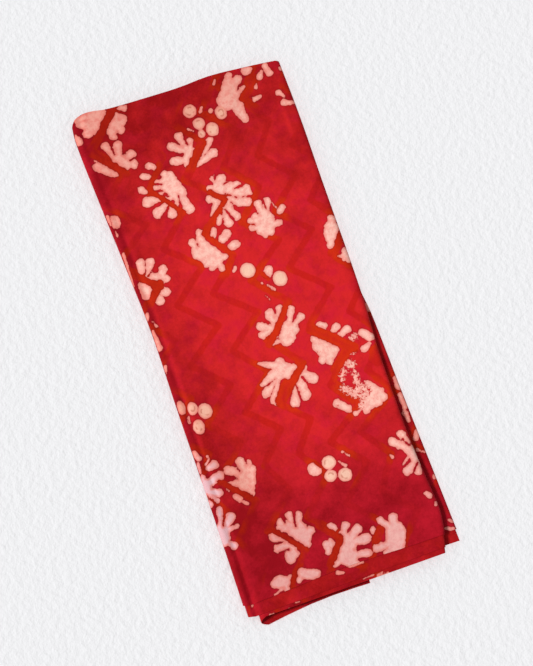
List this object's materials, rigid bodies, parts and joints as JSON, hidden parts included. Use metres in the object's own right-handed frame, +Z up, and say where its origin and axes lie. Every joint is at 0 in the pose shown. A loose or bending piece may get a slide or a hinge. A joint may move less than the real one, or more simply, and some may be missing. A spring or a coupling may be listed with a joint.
{
  "type": "folded batik cloth",
  "caption": "Length of printed batik cotton, doubled and book-folded into a flat stack of eight doubled panels, lying flat.",
  "frame": {"origin": "bottom centre of the bounding box, on the flat underside of the folded stack", "axes": "+X across the folds, +Y along them towards the doubling fold, +Z up"},
  "size_m": [0.2479, 0.5951, 0.015],
  "materials": {
    "batik_cotton": "matte printed cotton"
  },
  "bodies": {
    "root": {"cloth": "batik_cotton"}
  },
  "joints": []
}
